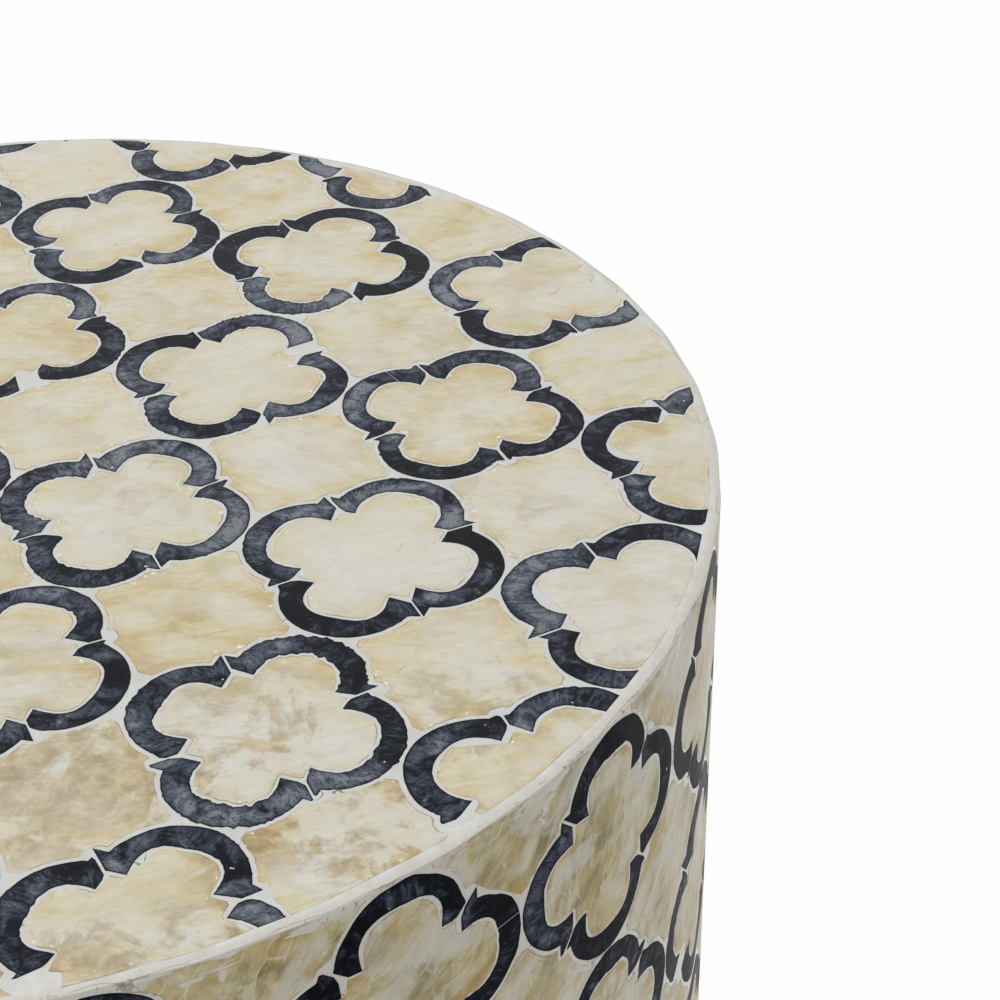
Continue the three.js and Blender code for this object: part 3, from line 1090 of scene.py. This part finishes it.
lay("top_arcs", on_top, TOP_PITCH, "dark_shell", arcs=top_layout.parts)
tiles = top_layout.quatrefoil_tiles()
lay("top_quatrefoil_tiles", on_top, TOP_PITCH, "pale_shell", tiles=tiles, along=-TOP_ANGLE)
tiles = top_layout.star_tiles(lattice[:-1], lattice[:-1])
lay("top_star_tiles", on_top, TOP_PITCH, "pale_shell", tiles=tiles, along=-TOP_ANGLE)
wall_pitch = np.array([COLUMN_STEP * drum_radius, ROW_PITCH])
lay("wall_arcs", on_wall, wall_pitch, "dark_shell", arcs=wall_layout.parts, paint=dark_shell(0.05))
tiles = wall_layout.quatrefoil_tiles()
lay("wall_quatrefoil_tiles", on_wall, wall_pitch, "wall_shell", tiles=tiles, along=1.15, fanned=0.2)
tiles = wall_layout.star_tiles(columns, range(-ROWS, 1))
lay("wall_star_tiles", on_wall, wall_pitch, "wall_shell", tiles=tiles, along=1, fanned=0.25)

# The resin and the board under the plates

ROUND = 7 * STRIPS
DIPPING = 1.5 * MM  # what lies this near the outside follows the strips
HUB = 0.4 * MM
CORNER = 0.3 * MM
CORNER_STEPS = 4
CORE_GAP = 0.1 * MM


def turned(name, profile, finish):
    """A ring turned from a closed profile of radius and height, its outside following the strips."""
    mesh = bpy.data.meshes.new(name)
    points, faces = [], []
    count = len(profile)
    for k in range(ROUND):
        angle = FIRST_STRIP + 2 * pi * k / ROUND
        c, s = cos(angle), sin(angle)
        dip = drum_radius - girth(angle)
        for radius, height in profile:
            r = radius - dip if radius > drum_radius - DIPPING else radius
            points.append((r * c, r * s, height))
        here, there = k * count, (k + 1) % ROUND * count
        for m in range(count):
            n = (m + 1) % count
            faces.append([here + m, there + m, there + n, here + n])
    mesh.from_pydata(points, [], faces)
    mesh.materials.append(finishes[finish])
    piece = into_scene(name, mesh)
    mesh.shade_smooth()
    mesh.set_sharp_from_angle(angle=radians(28))
    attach(piece, "root")


def oblong(inside, outside, bottom, top):
    """The profile of a plain ring."""
    return [(inside, bottom), (outside, bottom), (outside, top), (inside, top)]


top_level = drum_top - RESIN_DEPTH
wall_radius = drum_radius - RESIN_DEPTH
sheet_bottom, sheet_radius = sheet_low.z, sheet_high.x
turned("top_resin", oblong(HUB, sheet_radius, sheet_bottom, top_level), "white_resin")
rim_profile = [(sheet_radius, sheet_bottom), (wall_radius, sheet_bottom)]
for step in range(CORNER_STEPS + 1):
    turn = step / CORNER_STEPS * pi / 2
    rim_profile.append((wall_radius - CORNER * (1 - cos(turn)), top_level - CORNER * (1 - sin(turn))))
rim_profile.append((sheet_radius, top_level))
turned("rim_resin", rim_profile, "white_resin")
turned("wall_resin", oblong(core_radius, wall_radius, wall_bottom, sheet_bottom), "white_resin")
foot_profile = [(core_radius, foot_bottom), (wall_radius - CORNER, foot_bottom)]
foot_profile += [(wall_radius, foot_bottom + CORNER), (wall_radius, wall_bottom), (core_radius, wall_bottom)]
turned("foot_resin", foot_profile, "white_resin")
core_profile = oblong(HUB, core_radius - CORE_GAP, board_low.z, sheet_bottom - CORE_GAP)
turned("board_core", core_profile, "fibreboard")

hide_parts("top_board")
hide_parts("top_board")
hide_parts("top_shell_sheet")
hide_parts("top_shell_sheet")
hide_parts("top_shell_sheet")
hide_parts("rim_band")
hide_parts("wall_shell_sheet")
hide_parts("wall_shell_sheet")
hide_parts("wall_shell_sheet")
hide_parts("foot_band")

# Carried-over CAD nodes get their finishes

for part in frame["record"]["subparts"]:
    node = frame["nodes"][part["node"]]
    if not node.hide_render:
        node.data.materials.clear()
        node.data.materials.append(finishes[part["material_slot"]])

# Stage

SKY_LEVEL = 0.58
LAMP_AIM = Vector((0, 0, drum_top * 0.6))
FLOOR_HALF = 6
FLOOR_GLOW = 0.94  # the floor's share of plain white, where the rest keeps the shadow


def seen_tree(owner, *kinds):
    """The owner's emptied shader tree, and a number in it that is 1 on rays of any of these kinds."""
    owner.use_nodes = True
    tree = owner.node_tree
    tree.nodes.clear()
    path = add_node(tree, "LightPath")
    found, *others = [Field(tree, path.outputs[kind]) for kind in kinds]
    for other in others:
        found = found.math("MAXIMUM", other)
    return tree, found


def make_world():
    """Plain white where it is seen, and a soft sky that lights the drum."""
    world = bpy.data.worlds.new("world")
    bpy.context.scene.world = world
    tree, seen = seen_tree(world, "Is Camera Ray", "Is Glossy Ray", "Is Transmission Ray")
    white = add_node(tree, "Background", {"Color": WHITE})
    sky = add_node(tree, "Background", {"Color": (0.95, 0.97, 1, 1), "Strength": SKY_LEVEL})
    chosen = add_node(tree, "MixShader", {0: seen, 1: sky, 2: white})
    add_node(tree, "OutputWorld", {0: chosen})


def make_floor():
    mesh = bpy.data.meshes.new("floor")
    far = FLOOR_HALF
    mesh.from_pydata([(-far, -far, 0), (far, -far, 0), (far, far, 0), (-far, far, 0)], [], [(0, 1, 2, 3)])
    floor = into_scene("floor", mesh)
    material = bpy.data.materials.new("floor")
    tree, seen = seen_tree(material, "Is Camera Ray", "Is Glossy Ray")
    matt = add_node(tree, "BsdfDiffuse", {"Color": (0.98, 0.98, 0.98, 1)})
    glow = add_node(tree, "Emission", {"Color": WHITE})
    mixed = add_node(tree, "MixShader", {0: seen * FLOOR_GLOW, 1: matt, 2: glow})
    add_node(tree, "OutputMaterial", {0: mixed})
    mesh.materials.append(material)


def lamp(name, place, size, power):
    data = bpy.data.lights.new(name, "AREA")
    data.shape = "DISK"
    data.size = size
    data.energy = power
    light = into_scene(name, data)
    light.location = place
    light.rotation_euler = (LAMP_AIM - Vector(place)).to_track_quat("-Z", "Y").to_euler()


make_world()
make_floor()
lamp("above", (-0.3, 0.2, 2.6), 2.2, 20)
lamp("key", (-1.6, -1.4, 2.6), 1.8, 12)
lamp("fill", (2.2, -1, 1.4), 1.8, 1.2)
lamp("back", (-1.8, 2, 2.2), 1.8, 8)

bpy.context.scene.view_settings.view_transform = "Standard"
